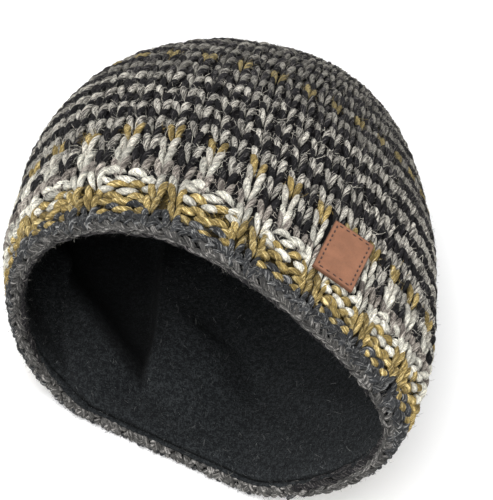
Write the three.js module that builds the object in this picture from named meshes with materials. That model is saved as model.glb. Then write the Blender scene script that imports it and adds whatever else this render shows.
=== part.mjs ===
import * as THREE from 'three';

// A chunky knit beanie with a fleece lining and a leather patch, lying on its back on the floor z = 0.
// The opening faces -Y, the tip of the crown points to +Y. All sizes are in millimetres.

// Driving sizes of the knitted shell
const WIDTH = 212;
const HEIGHT = 136;
const DEPTH = 197;
const KNIT_WALL = 6.5;
const STITCHES = 60;
const BAND_HEIGHT = 34;
const RIB_DEPTH = 1.4;

// Driving sizes of the lining
const LINING_WALL = 2;
const LINING_SETBACK = 3;
const HEM_WIDTH = 4.5;
const HEM_SWELL = 1.2;
const HEM_FADE = 2;
const DART_HEIGHT = 4;

// Driving sizes of the patch
const PATCH_WIDTH = 18.5;
const PATCH_HEIGHT = 29;
const PATCH_WALL = 1.5;
const PATCH_FROM_RIM = 41;

// Clearance between pieces that touch
const GAP = 0.3;

// Each section is an oval, and at is its way along the wall from the rim to the tip, as a share.
// forward is a share of DEPTH, top and under are shares of HEIGHT, half is a share of WIDTH / 2 and
// aside is a share of WIDTH. lean moves a section forward for each millimetre above its waist and turn
// for each millimetre to the right of its middle. corner draws its right side out to a fold.
// An under below 0 is pressed flat where it meets the floor.
const COLUMNS = ['at', 'half', 'top', 'under', 'forward', 'lean', 'aside', 'turn', 'corner'];
const SECTIONS = [
  [0, 0.878, 1.003, -0.048, 0, 0.013, 0.049, 0.029, 0.212],
  [0.06, 0.924, 0.994, -0.048, 0.046, 0.034, 0.035, 0.024, 0.337],
  [0.15, 0.974, 0.984, -0.048, 0.133, 0.068, -0.004, 0.025, 0.4],
  [0.255, 0.997, 0.968, -0.048, 0.25, 0.099, -0.051, 0, 0.336],
  [0.375, 0.997, 0.936, -0.048, 0.392, 0.047, -0.111, 0, 0.164],
  [0.49, 0.954, 0.888, -0.04, 0.541, -0.03, -0.158, 0, 0.05],
  [0.61, 0.855, 0.82, 0, 0.687, -0.095, -0.196, 0, 0],
  [0.73, 0.677, 0.724, 0.074, 0.821, -0.1, -0.21, 0, 0],
  [0.85, 0.431, 0.604, 0.197, 0.924, -0.12, -0.202, 0, 0],
  [0.94, 0.196, 0.51, 0.308, 0.982, -0.12, -0.194, 0, 0],
  [1, 0, 0.406, 0.406, 1, 0, -0.192, 0, 0],
].map((row) => Object.fromEntries(COLUMNS.map((name, k) => [name, row[k]])));

// The oval is widest at this share of its height, and the whole hat is rolled a little to one side.
// What would sink into the floor is flattened, with a bend of this height up from the flat.
// A corner fades towards the top and the floor with this power of the cosine.
const WAIST = 0.43;
const ROLL = THREE.MathUtils.degToRad(15);
const FLOOR_BEND = 4;
const CORNER_FADE = 1.5;

// The knit and purl columns of the ribbed band come in fours: two up, two down.
// The ribs begin and end softly, at these shares of the band's height. crest is where the first
// raised rib lies, as a share of a repeat.
const RIB_REPEATS = Math.round(STITCHES / 4);
const RIBS = { starts: 0, full: 0.25, fades: 0.8, crest: 0.875 };

// The soft knit is stretched over the top and bunched at the fold on the right. These waves, in
// stitches, say how far each column lies beyond its even place and at which column they crest.
const SHIFT = 1.841;
const WAVES = [
  { size: 1.517, crest: -15.28, times: 1 },
  { size: 0.93, crest: -4.82, times: 2 },
];

// Where the dart fold runs, as a share of the stitches, and the shares of the wall between which it
// rises. The patch is sewn on a little turned.
const DART = { turn: 0.64, starts: 0.11, full: 0.34, fades: 0.62, ends: 0.8 };
const PATCH_AROUND = 0.1077;
const PATCH_TURN = THREE.MathUtils.degToRad(4);
const TOP_AROUND = 0.25;

// How finely the surfaces are divided: around the wall, along it, and around its rounded edges
const SECTORS = RIB_REPEATS * 5;
const OVAL_STEPS = 360;
const WALL_STEPS = 100;
const STEP = 0.004;
const RINGS = { band: 6, crown: 13, facing: 16, hollow: 11, knitEdge: 3, liningEdge: 1 };
const LAST_RING = 0.965;
const PATCH_CELLS = { across: 4, upward: 6 };
const PATCH_PASSES = 6;

const LINING_FACE = KNIT_WALL + GAP;

// A smooth curve through one column of the table
function column(name, share) {
  const last = SECTIONS.length - 1;
  const rise = (i) => (SECTIONS[i + 1][name] - SECTIONS[i][name]) / (SECTIONS[i + 1].at - SECTIONS[i].at);
  const slope = (i) => {
    if (i === 0) return rise(0);
    if (i === last) return rise(last - 1);
    const before = SECTIONS[i].at - SECTIONS[i - 1].at;
    const after = SECTIONS[i + 1].at - SECTIONS[i].at;
    return (rise(i - 1) * after + rise(i) * before) / (before + after);
  };
  let i = 0;
  while (i < last - 1 && share > SECTIONS[i + 1].at) i += 1;
  const span = SECTIONS[i + 1].at - SECTIONS[i].at;
  const x = (share - SECTIONS[i].at) / span;
  const start = SECTIONS[i][name] * (1 + 2 * x) * (1 - x) ** 2 + slope(i) * span * x * (1 - x) ** 2;
  const end = SECTIONS[i + 1][name] * x * x * (3 - 2 * x) + slope(i + 1) * span * x * x * (x - 1);
  return start + end;
}

// What would sink into the floor lies flat on it at z = 0, with a soft bend up from the flat
function restOnFloor(height) {
  if (height < -FLOOR_BEND) return 0;
  if (height > FLOOR_BEND) return height;
  return (height + FLOOR_BEND) ** 2 / (4 * FLOOR_BEND);
}

// One point of a section's oval
function ovalPoint(section, angle) {
  const bottom = section.under * HEIGHT;
  const waist = bottom + (section.top * HEIGHT - bottom) * WAIST;
  const reach = Math.sin(angle) > 0 ? section.top * HEIGHT - waist : waist - bottom;
  const side = (section.half * WIDTH / 2) * Math.cos(angle);
  const fold = section.corner * Math.max(Math.cos(angle), 0) ** CORNER_FADE;
  const rise = reach * Math.sin(angle) * (1 - fold);
  const sideways = side * Math.cos(ROLL) - rise * Math.sin(ROLL);
  const upward = side * Math.sin(ROLL) + rise * Math.cos(ROLL);
  return new THREE.Vector3(
    section.aside * WIDTH + sideways,
    section.forward * DEPTH + section.lean * upward + section.turn * sideways,
    restOnFloor(waist + upward),
  );
}

// A whole oval with its running length, kept so that points can be spaced evenly around it
const ovals = new Map();
function ovalAt(share) {
  if (!ovals.has(share)) {
    const section = Object.fromEntries(COLUMNS.map((name) => [name, column(name, share)]));
    const points = [];
    const lengths = [0];
    for (let k = 0; k <= OVAL_STEPS; k += 1) {
      points.push(ovalPoint(section, (k / OVAL_STEPS) * 2 * Math.PI));
      if (k > 0) lengths.push(lengths[k - 1] + points[k].distanceTo(points[k - 1]));
    }
    ovals.set(share, { points, lengths });
  }
  return ovals.get(share);
}

// A point of the shell's outer face: share runs from rim to tip, around runs once around the oval.
// The right side is at 0, the top at 0.25, the left side at 0.5 and the floor at 0.75.
function facePoint(share, around) {
  const { points, lengths } = ovalAt(share);
  const length = (around - Math.floor(around)) * lengths[OVAL_STEPS];
  let low = 0;
  let high = OVAL_STEPS;
  while (high - low > 1) {
    const middle = (low + high) >> 1;
    if (lengths[middle] <= length) low = middle;
    else high = middle;
  }
  const part = (length - lengths[low]) / Math.max(lengths[high] - lengths[low], Number.EPSILON);
  return points[low].clone().lerp(points[high], part);
}

// The shell's outer face at a point, with its outward normal and the direction towards the tip
function face(share, around) {
  const ahead = facePoint(Math.min(share + STEP, 1 - STEP), around);
  const behind = facePoint(Math.max(share - STEP, 0), around);
  const along = ahead.sub(behind).normalize();
  const left = facePoint(share, around + STEP);
  const right = facePoint(share, around - STEP);
  const across = left.sub(right).normalize();
  const out = along.clone().cross(across).normalize();
  return { point: facePoint(share, around), out, along };
}

// The length of the wall over the top of the hat, and the share of it that a length takes up
let wallLength = 0;
for (let k = 0; k < WALL_STEPS; k += 1) {
  const next = facePoint((k + 1) / WALL_STEPS, TOP_AROUND);
  wallLength += facePoint(k / WALL_STEPS, TOP_AROUND).distanceTo(next);
}
const wallShare = (length) => length / wallLength;

// Where a share of the stitches, which are bunched and stretched, lies around the wall
function aroundAt(turn) {
  const column = turn * STITCHES;
  const bunched = WAVES.reduce((sum, { size, crest, times }) => {
    return sum + size * Math.cos((2 * Math.PI * times * (column - crest)) / STITCHES);
  }, SHIFT);
  return (column + bunched) / STITCHES;
}

// A ring of points at a depth under the outer face, which may change with the share of the stitches
function ring(share, depthAt) {
  return Array.from({ length: SECTORS }, (_, j) => {
    const { point, out } = face(share, aroundAt(j / SECTORS));
    return point.addScaledVector(out, -depthAt(j / SECTORS));
  });
}

// The tip of the crown at a depth under the outer face
function tip(depth) {
  const rim = ring(1 - 3 * STEP, () => 0);
  const out = rim.reduce((sum, point, j) => {
    const next = rim[(j + 1) % SECTORS];
    return sum.add(point.clone().sub(rim[0]).cross(next.clone().sub(rim[0])));
  }, new THREE.Vector3()).normalize();
  const point = facePoint(1, 0);
  if (out.y < 0) out.negate();
  return point.addScaledVector(out, -depth);
}

// A half-round edge that joins two depths of the wall, seen from the rim
function edgeRings(share, outerDepth, innerDepth, steps) {
  const middle = (outerDepth + innerDepth) / 2;
  const radius = (innerDepth - outerDepth) / 2;
  return Array.from({ length: steps }, (_, k) => {
    const angle = (Math.PI * (k + 1)) / (steps + 1);
    return Array.from({ length: SECTORS }, (__, j) => {
      const { point, out, along } = face(share, aroundAt(j / SECTORS));
      point.addScaledVector(out, -middle - radius * Math.cos(angle));
      return point.addScaledVector(along, -radius * Math.sin(angle));
    });
  });
}

// A closed shell: from the inner tip back to the rim, around the edge and out to the outer tip
function shell(innerTip, rings, outerTip) {
  const points = [innerTip, ...rings.flat(), outerTip];
  const index = [];
  const at = (i, j) => 1 + i * SECTORS + (j % SECTORS);
  const last = rings.length - 1;
  for (let j = 0; j < SECTORS; j += 1) {
    index.push(0, at(0, j), at(0, j + 1));
    index.push(at(last, j), points.length - 1, at(last, j + 1));
    for (let i = 0; i < last; i += 1) {
      index.push(at(i, j), at(i + 1, j), at(i + 1, j + 1));
      index.push(at(i, j), at(i + 1, j + 1), at(i, j + 1));
    }
  }
  const geometry = new THREE.BufferGeometry().setFromPoints(points);
  geometry.setIndex(index);
  geometry.computeVertexNormals();
  return geometry;
}

// Evenly spread values from one up to the other, which is left out
function spread(from, to, count) {
  return Array.from({ length: count }, (_, i) => from + ((to - from) * i) / count);
}

const smooth = (from, to, value) => THREE.MathUtils.smoothstep(value, from, to);

// The knit's inner face and the lining's outer face have the same rings, so that their gap stays even
const bandTop = wallShare(BAND_HEIGHT);
const liningStart = wallShare(LINING_SETBACK);
const hemEnd = liningStart + wallShare(HEM_WIDTH);
const facingRings = [liningStart, ...spread(hemEnd, LAST_RING, RINGS.facing), LAST_RING];

// Knitted shell with its two-by-two ribs in the band
function ribDepth(share, turn) {
  const up = share / bandTop;
  const fade = smooth(RIBS.starts, RIBS.full, up) * (1 - smooth(RIBS.fades, 1, up));
  return (RIB_DEPTH / 2) * fade * (1 - Math.cos(2 * Math.PI * (RIB_REPEATS * turn - RIBS.crest)));
}

function knitRing(share) {
  return ring(share, (turn) => ribDepth(share, turn));
}

function knitBody() {
  const band = spread(0, bandTop, RINGS.band);
  const crown = spread(bandTop, LAST_RING, RINGS.crown);
  const rings = [
    ...facingRings.toReversed().map((share) => ring(share, () => KNIT_WALL)),
    ring(0, () => KNIT_WALL),
    ...edgeRings(0, 0, KNIT_WALL, RINGS.knitEdge).toReversed(),
    ...[...band, ...crown, LAST_RING].map(knitRing),
  ];
  return shell(tip(KNIT_WALL), rings, tip(0));
}

// Fleece lining with its folded hem at the rim and the pinched dart
function liningDepth(share, turn) {
  const hem = share < hemEnd ? HEM_SWELL : 0;
  const near = Math.max(0, 1 - Math.abs(turn - DART.turn) * SECTORS);
  const rise = smooth(DART.starts, DART.full, share) * (1 - smooth(DART.fades, DART.ends, share));
  return LINING_FACE + LINING_WALL + hem + DART_HEIGHT * near * rise;
}

function liningRing(share) {
  return ring(share, (turn) => liningDepth(share, turn));
}

function lining() {
  const hem = [liningStart, (liningStart + hemEnd) / 2, hemEnd];
  const hollow = spread(hemEnd + wallShare(HEM_FADE), LAST_RING, RINGS.hollow);
  const edgeDepth = liningDepth(liningStart, 0) - HEM_SWELL / 2;
  const rings = [
    ...[...hem, ...hollow, LAST_RING].toReversed().map(liningRing),
    ...edgeRings(liningStart, LINING_FACE, edgeDepth, RINGS.liningEdge),
    ...facingRings.map((share) => ring(share, () => LINING_FACE)),
  ];
  return shell(tip(LINING_FACE + LINING_WALL), rings, tip(LINING_FACE));
}

// The place on the shell that lies x across and y up from the turned patch's middle
function patchSpot(middle, x, y) {
  const across = x * Math.cos(PATCH_TURN) + y * Math.sin(PATCH_TURN);
  const upward = y * Math.cos(PATCH_TURN) - x * Math.sin(PATCH_TURN);
  let share = middle.share;
  let around = middle.around;
  const girth = ovalAt(share).lengths[OVAL_STEPS];
  for (let pass = 0; pass < PATCH_PASSES; pass += 1) {
    const off = facePoint(share, around).sub(middle.point);
    around += (off.dot(middle.right) - across) / girth;
    share += wallShare(upward - off.dot(middle.along));
  }
  return face(share, around);
}

// Leather patch, bent to the shell that it is sewn on
function patch() {
  const share = wallShare(PATCH_FROM_RIM);
  const { point, out, along } = face(share, PATCH_AROUND);
  const middle = { share, around: PATCH_AROUND, point, along, right: along.clone().cross(out) };
  const { across, upward } = PATCH_CELLS;
  const points = [];
  for (const lift of [GAP, GAP + PATCH_WALL]) {
    for (let i = 0; i <= upward; i += 1) {
      for (let j = 0; j <= across; j += 1) {
        const x = (j / across - 0.5) * PATCH_WIDTH;
        const y = (i / upward - 0.5) * PATCH_HEIGHT;
        const spot = patchSpot(middle, x, y);
        points.push(spot.point.addScaledVector(spot.out, lift));
      }
    }
  }
  const index = [];
  const at = (layer, i, j) => (layer * (upward + 1) + i) * (across + 1) + j;
  const quad = (a, b, c, d) => index.push(a, b, c, a, c, d);
  for (let i = 0; i < upward; i += 1) {
    for (let j = 0; j < across; j += 1) {
      quad(at(1, i, j), at(1, i, j + 1), at(1, i + 1, j + 1), at(1, i + 1, j));
      quad(at(0, i, j), at(0, i + 1, j), at(0, i + 1, j + 1), at(0, i, j + 1));
    }
    quad(at(0, i, 0), at(1, i, 0), at(1, i + 1, 0), at(0, i + 1, 0));
    quad(at(0, i, across), at(0, i + 1, across), at(1, i + 1, across), at(1, i, across));
  }
  for (let j = 0; j < across; j += 1) {
    quad(at(0, 0, j), at(0, 0, j + 1), at(1, 0, j + 1), at(1, 0, j));
    quad(at(0, upward, j), at(1, upward, j), at(1, upward, j + 1), at(0, upward, j + 1));
  }
  const geometry = new THREE.BufferGeometry().setFromPoints(points);
  geometry.setIndex(index);
  geometry.computeVertexNormals();
  return geometry;
}

function piece(name, geometry, color, roughness) {
  const material = new THREE.MeshStandardMaterial({ color, roughness, metalness: 0 });
  const mesh = new THREE.Mesh(geometry, material);
  mesh.name = name;
  return mesh;
}

// The origin lies on the floor under the middle of the hat's bounding box
const group = new THREE.Group();
group.add(piece('knit_body', knitBody(), 0x6b6762, 0.95));
group.add(piece('lining', lining(), 0x1c1e21, 0.98));
group.add(piece('patch', patch(), 0xa57055, 0.6));
const centre = new THREE.Box3().setFromObject(group).getCenter(new THREE.Vector3());
group.position.set(-centre.x, -centre.y, 0);
export default group;
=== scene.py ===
"""A chunky knitted beanie with a fleece lining and a leather patch, lying on its back on a pale floor."""

import bpy
import numpy as np
from bpy.props import FloatProperty, FloatVectorProperty, IntProperty, PointerProperty
from mathutils import Matrix, Vector


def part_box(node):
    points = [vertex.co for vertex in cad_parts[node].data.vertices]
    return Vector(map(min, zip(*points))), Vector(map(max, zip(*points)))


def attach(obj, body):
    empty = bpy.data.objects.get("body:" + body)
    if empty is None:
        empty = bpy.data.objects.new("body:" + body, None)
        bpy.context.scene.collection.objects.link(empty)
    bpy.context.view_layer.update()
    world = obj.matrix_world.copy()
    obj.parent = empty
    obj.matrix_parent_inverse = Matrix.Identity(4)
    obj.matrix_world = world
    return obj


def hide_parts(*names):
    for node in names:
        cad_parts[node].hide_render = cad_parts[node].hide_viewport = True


bl_info = {
    "name": "Knitted beanie",
    "version": (1, 0, 0),
    "blender": (4, 5, 0),
    "location": "View3D > Sidebar > Beanie",
    "description": "Builds a ribbed, striped wool beanie stitch by stitch, with its lining and patch",
    "category": "Add Mesh",
}

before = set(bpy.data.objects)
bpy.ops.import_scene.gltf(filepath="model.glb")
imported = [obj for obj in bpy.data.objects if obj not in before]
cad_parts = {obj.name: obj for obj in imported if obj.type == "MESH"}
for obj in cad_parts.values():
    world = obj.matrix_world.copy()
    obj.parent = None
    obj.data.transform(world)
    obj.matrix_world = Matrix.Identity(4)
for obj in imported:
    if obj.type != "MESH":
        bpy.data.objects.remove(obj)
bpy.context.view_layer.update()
KNIT_LOW, KNIT_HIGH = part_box("knit_body")

MM = 0.001

# The form of the hat's outer face, the same as in the CAD. Each row is a column of the CAD's table,
# read along at, the way from the rim to the tip. forward is a share of DEPTH, top and under are shares
# of HEIGHT, half is a share of half the WIDTH and aside a share of WIDTH. lean and turn slant a section,
# and corner draws its right side out to a fold.
WIDTH, HEIGHT, DEPTH = 212 * MM, 136 * MM, 197 * MM
SECTIONS = {
    "at": (0, 0.06, 0.15, 0.255, 0.375, 0.49, 0.61, 0.73, 0.85, 0.94, 1),
    "half": (0.878, 0.924, 0.974, 0.997, 0.997, 0.954, 0.855, 0.677, 0.431, 0.196, 0),
    "top": (1.003, 0.994, 0.984, 0.968, 0.936, 0.888, 0.82, 0.724, 0.604, 0.51, 0.406),
    "under": (-0.048, -0.048, -0.048, -0.048, -0.048, -0.04, 0, 0.074, 0.197, 0.308, 0.406),
    "forward": (0, 0.046, 0.133, 0.25, 0.392, 0.541, 0.687, 0.821, 0.924, 0.982, 1),
    "lean": (0.013, 0.034, 0.068, 0.099, 0.047, -0.03, -0.095, -0.1, -0.12, -0.12, 0),
    "aside": (0.049, 0.035, -0.004, -0.051, -0.111, -0.158, -0.196, -0.21, -0.202, -0.194, -0.192),
    "turn": (0.029, 0.024, 0.025, 0, 0, 0, 0, 0, 0, 0, 0),
    "corner": (0.212, 0.337, 0.4, 0.336, 0.164, 0.05, 0, 0, 0, 0, 0),
}
# The widest line of a section, as a share of its height, and how far the hat is rolled over
WAIST = 0.43
ROLL = np.radians(15)
# How softly the underside bends up from the floor, and the fold at the corner falls off
FLOOR_BEND = 4 * MM
CORNER_FADE = 1.5
# The knit's thickness, the gap to what is sewn on it, and the way along it from the rim to the tip
KNIT_WALL = 6.5 * MM
GAP = 0.3 * MM
LINING_FACE = KNIT_WALL + GAP
WALL_LENGTH = 224 * MM
# The weight of the hat presses the rim flat where it is lower than this
PRESSED_BELOW = 30 * MM
# The wool is thinner by the rim, where the lining is sewn to it, and thinner still where it is pressed
SQUEEZE, SQUEEZE_PRESSED, SQUEEZE_REACH = 1.2 * MM, 1.1 * MM, 12 * MM

# The knit is stretched over the top and bunched at the fold on the right. Each wave, in stitches,
# has its size, the column that it crests at and how often it goes around
SHIFT = 1.841
WAVES = ((1.517, -15.28, 1), (0.93, -4.82, 2))
# The courses that are ribbed, and a column in the middle of a rib
RIB_COURSES = 5
RIB_CREST = 3.5

# The yarn of each course from the rim up. Two yarns go by turns, the first in the even columns
BAND = ("charcoal",) * 2 + ("ochre",) * 2 + ("white", "taupe", "white black", "pale grey", "ochre black")
BODY = ("grey", "black") * 3 + ("grey", "coal", "stone", "coal", "moss stone")
COURSES = BAND + BODY
CROWN = ("coal", "stone")

# For each yarn its colour, the colour of its flecks, how marled it is with them, and its use
YARNS = {
    "charcoal": ((0.042, 0.044, 0.047), (0.19, 0.19, 0.185), 0.3, "the lowest courses and the rolled edge"),
    "ash": ((0.075, 0.073, 0.069), (0.2, 0.19, 0.18), 0.3, "the cord along the very rim"),
    "ochre": ((0.33, 0.238, 0.084), (0.5, 0.405, 0.2), 0.3, "the band's ochre courses and the dots"),
    "white": ((0.65, 0.63, 0.55), (0.5, 0.47, 0.4), 0.2, "the band's white course"),
    "pale": ((0.64, 0.61, 0.53), (0.15, 0.13, 0.11), 0.3, "the stitches between white and ochre"),
    "taupe": ((0.62, 0.56, 0.49), (0.1, 0.085, 0.075), 0.55, "the course above the white one"),
    "grey": ((0.63, 0.6, 0.53), (0.06, 0.055, 0.05), 0.46, "the grey courses"),
    "moss": ((0.38, 0.3, 0.13), (0.07, 0.062, 0.045), 0.4, "the dots on the crown"),
    "stone": ((0.35, 0.333, 0.293), (0.05, 0.046, 0.043), 0.42, "the grey courses of the crown"),
    "coal": ((0.0155, 0.0145, 0.016), (0.09, 0.083, 0.08), 0.3, "the black courses of the crown"),
    "black": ((0.0075, 0.0068, 0.008), (0.055, 0.051, 0.05), 0.2, "the black courses"),
}


def yarn_at(course, column):
    """The name of the yarn that a stitch is knitted with."""
    yarns = COURSES[course] if course < len(COURSES) else CROWN[(course - len(COURSES)) % len(CROWN)]
    names = yarns.split()
    return names[column % len(names)]


def number_property(name, description, default):
    return FloatProperty(name=name, description=description, default=default)


def count_property(name, description, default):
    return IntProperty(name=name, description=description, default=default, min=0)


def length_property(name, description, default):
    return FloatProperty(name=name, description=description, default=default, unit="LENGTH")


def power_property(name, description, default):
    return FloatProperty(name=name, description=description, default=default, unit="POWER")


def colour_property(name, description, default):
    return FloatVectorProperty(name=name, description=description, default=default, subtype="COLOR")


def yarn_properties():
    """A colour for each yarn and one for its flecks."""
    made = {}
    for yarn, (colour, flecks, _, use) in YARNS.items():
        name = yarn.capitalize()
        made[yarn] = colour_property(name, f"Wool of {use}", colour)
        made[f"{yarn}_fleck"] = colour_property(f"{name} flecks", f"Fibres in the {yarn} wool", flecks)
    return made


class YarnColours(bpy.types.PropertyGroup):
    """The colours of the wool, each with the colour of its flecks"""

    __annotations__ = yarn_properties()


class KnitSizes(bpy.types.PropertyGroup):
    """How the hat is knitted"""

    stitches: IntProperty(name="Stitches", description="Stitches around the hat", default=60, min=20)
    courses: number_property("Courses", "Courses from the rim to the tip", 33.5)
    crown_stitch: length_property("Crown stitch", "Width of a stitch in the crown", 8.1 * MM)
    leg_width: number_property("Leg width", "Width of a stitch's leg, as a share of the stitch", 0.315)
    leg_thickness: length_property("Leg thickness", "Thickness of a stitch's leg", 3 * MM)
    leg_dip: length_property("Leg dip", "How far a leg's ends dip into the knit", 2.6 * MM)
    bump_thickness: length_property("Bump thickness", "Thickness of a purl bump", 3.4 * MM)
    rib_depth: length_property("Rib depth", "How far the purl columns lie back", 1.4 * MM)
    edge_loops: number_property("Edge loops", "Loops in a row of the rolled edge to each stitch", 1.8)
    edge_rows: IntProperty(name="Edge rows", description="Rows of the rolled edge", default=6, min=1)
    edge_step: length_property("Edge step", "Way between the rows of the rolled edge", 2.7 * MM)
    edge_ply: length_property("Edge ply", "Thickness of a loop of the rolled edge", 2.2 * MM)
    ply_turn: length_property("Ply turn", "Length of yarn in which a ply turns once", 17 * MM)
    fuzz: count_property("Fuzz", "Number of loose fibres in each layer", 26000)
    edge_fuzz: count_property("Edge fuzz", "Loose fibres on the rim", 3600)
    fuzz_width: length_property("Fuzz width", "Width of a loose fibre", 0.1 * MM)
    fuzz_length: length_property("Fuzz length", "Length of a loose fibre", 3.6 * MM)


class LiningSizes(bpy.types.PropertyGroup):
    """The fleece lining"""

    wall: length_property("Wall", "Thickness of the fleece", 2 * MM)
    setback: length_property("Setback", "How far the lining ends inside the rim", 1.8 * MM)
    hem: length_property("Hem", "Width of the folded hem", 2.2 * MM)
    hem_swell: length_property("Hem swell", "Extra thickness of the folded hem", 1.2 * MM)
    colour: colour_property("Fleece", "Colour of the fleece", (0.008, 0.009, 0.01))
    lint: count_property("Lint", "Number of light fibres on the fleece", 6000)


class PatchSizes(bpy.types.PropertyGroup):
    """The leather patch that is sewn on the band"""

    width: length_property("Width", "Width of the patch", 18.5 * MM)
    height: length_property("Height", "Height of the patch", 29 * MM)
    wall: length_property("Wall", "Thickness of the leather", 1.5 * MM)
    from_rim: length_property("From the rim", "Way from the rim to the middle", 41 * MM)
    around: number_property("Around", "Place around the hat, as a share", 0.1077)
    turn: FloatProperty(name="Turn", description="Turn to the right", default=np.radians(8), unit="ROTATION")
    inset: length_property("Inset", "Way from the edge to the stitching", 1.7 * MM)
    stitch: length_property("Stitch", "Length of one stitch and its gap", 2.9 * MM)
    colour: colour_property("Leather", "Colour of the leather", (0.21, 0.092, 0.05))


class StageSizes(bpy.types.PropertyGroup):
    """The floor and the lights"""

    floor: colour_property("Floor", "Colour of the floor", (0.95, 0.95, 0.95))
    key: power_property("Key light", "Power of the light above", 20)
    fill: power_property("Fill light", "Power of the lights in front and at the side", 6)
    world: number_property("Surroundings", "Brightness all round", 0.4)


def settings():
    """The scene, which holds the groups of properties."""
    return bpy.context.scene


# The wall's form


def table_curve(name, share):
    """A smooth curve through one row of SECTIONS."""
    at = np.array(SECTIONS["at"], float)
    values = np.array(SECTIONS[name], float)
    spans = np.diff(at)
    rises = np.diff(values) / spans
    slopes = np.empty(len(at))
    slopes[1:-1] = (rises[:-1] * spans[1:] + rises[1:] * spans[:-1]) / (spans[1:] + spans[:-1])
    slopes[0], slopes[-1] = rises[0], rises[-1]
    i = np.clip(np.searchsorted(at, share) - 1, 0, len(at) - 2)
    span = spans[i]
    x = (share - at[i]) / span
    start = values[i] * (1 + 2 * x) * (1 - x) ** 2 + slopes[i] * span * x * (1 - x) ** 2
    end = values[i + 1] * x * x * (3 - 2 * x) + slopes[i + 1] * span * x * x * (x - 1)
    return start + end


def rest_on_floor(height):
    """What would sink into the floor lies flat on it, with a soft bend up from the flat."""
    bend = (height + FLOOR_BEND) ** 2 / (4 * FLOOR_BEND)
    return np.where(height < -FLOOR_BEND, 0, np.where(height > FLOOR_BEND, height, bend))


def unit(vectors):
    """Vectors made one long."""
    length = np.linalg.norm(vectors, axis=-1, keepdims=True)
    return vectors / np.maximum(length, 1e-12)


def smooth(start, end, value):
    """0 up to start and 1 from end, with a smooth way up."""
    x = np.clip((value - start) / (end - start), 0, 1)
    return x * x * (3 - 2 * x)


class Wall:
    """The outer face of the knit as a fine grid: share runs from rim to tip, around once around it."""

    SHARES, AROUNDS, ANGLES = 250, 600, 900

    def __init__(self):
        share = np.linspace(0, 1, self.SHARES + 1)
        read = {name: table_curve(name, share)[:, None] for name in SECTIONS if name != "at"}
        angle = np.linspace(0, 2 * np.pi, self.ANGLES + 1)[None]
        bottom, top = read["under"] * HEIGHT, read["top"] * HEIGHT
        waist = bottom + (top - bottom) * WAIST
        side = read["half"] * WIDTH / 2 * np.cos(angle)
        fold = read["corner"] * np.maximum(np.cos(angle), 0) ** CORNER_FADE
        rise = np.where(np.sin(angle) > 0, top - waist, waist - bottom) * np.sin(angle) * (1 - fold)
        sideways = side * np.cos(ROLL) - rise * np.sin(ROLL)
        upward = side * np.sin(ROLL) + rise * np.cos(ROLL)
        ovals = np.stack(
            [
                read["aside"] * WIDTH + sideways,
                read["forward"] * DEPTH + read["lean"] * upward + read["turn"] * sideways,
                rest_on_floor(waist + upward),
            ],
            -1,
        )
        steps = np.linalg.norm(np.diff(ovals, axis=1), axis=-1)
        run = np.concatenate([np.zeros((len(share), 1)), np.cumsum(steps, 1)], 1)
        self.girth = run[:, -1]
        even = np.arange(self.AROUNDS + 1) / self.AROUNDS
        grid = np.empty((len(share), self.AROUNDS + 1, 3))
        for i in range(len(share)):
            for k in range(3):
                grid[i, :, k] = np.interp(even * self.girth[i], run[i], ovals[i, :, k])
        shift_x = (KNIT_LOW.x + KNIT_HIGH.x) / 2 - (grid[..., 0].min() + grid[..., 0].max()) / 2
        shift_y = KNIT_HIGH.y - grid[..., 1].max()
        self.shift = np.array([shift_x, shift_y, 0])
        self.points = grid + self.shift
        along = unit(np.gradient(self.points, axis=0))
        ahead = np.roll(self.points[:, :-1], -1, 1) - np.roll(self.points[:, :-1], 1, 1)
        across = unit(np.concatenate([ahead, ahead[:, :1]], 1))
        # the last rows close up at the tip, so they take their ways from just below it
        across[-3:] = across[-4]
        along[-3:] = along[-4]
        out = unit(np.cross(along, across))
        end = out[-4, :-1].mean(0)
        out[-2:] = end / np.linalg.norm(end)
        self.along, self.across, self.out = along, across, out

    def read(self, share, around):
        """The point, outward normal, way to the tip and way around at each share and around."""
        share, around = np.broadcast_arrays(np.asarray(share, float), np.asarray(around, float))
        beyond = np.minimum(share, 0) * WALL_LENGTH
        row = np.clip(share, 0, 1) * self.SHARES
        column = (around % 1) * self.AROUNDS
        i = np.clip(row.astype(int), 0, self.SHARES - 1)
        j = np.clip(column.astype(int), 0, self.AROUNDS - 1)
        a, b = (row - i)[..., None], (column - j)[..., None]

        def mixed(grid):
            low = grid[i, j] * (1 - b) + grid[i, j + 1] * b
            high = grid[i + 1, j] * (1 - b) + grid[i + 1, j + 1] * b
            return low * (1 - a) + high * a

        point = mixed(self.points)
        out, along, across = unit(mixed(self.out)), unit(mixed(self.along)), unit(mixed(self.across))
        return point + along * beyond[..., None], out, along, across

    def girth_at(self, share):
        return np.interp(share, np.linspace(0, 1, self.SHARES + 1), self.girth)


WALL = Wall()


def shift_at(column):
    """How many stitches beyond its even place a column lies."""
    around = 2 * np.pi / settings().knit.stitches
    return SHIFT + sum(size * np.cos(around * times * (column - crest)) for size, crest, times in WAVES)


def around_at(column):
    """Where a column of stitches lies around the wall."""
    return (column + shift_at(column)) / settings().knit.stitches


def column_at(around):
    """The column of stitches at a place around the wall."""
    place = np.asarray(around, float) * settings().knit.stitches
    column = place
    for _ in range(12):
        column = place - shift_at(column)
    return column


def rib_sink(share, column):
    """How far the face of the band lies back at the purl columns, fading out at both of its edges."""
    knit = settings().knit
    up = share / (RIB_COURSES / knit.courses)
    fade = smooth(0, 0.25, up) * (1 - smooth(0.8, 1, up))
    return knit.rib_depth / 2 * fade * (1 - np.cos(np.pi / 2 * (column - RIB_CREST)))


def pressed(around):
    """1 where the rim lies on the floor under the hat's weight, and 0 higher up."""
    return 1 - smooth(0, PRESSED_BELOW, WALL.read(0, around)[0][..., 2])


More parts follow.
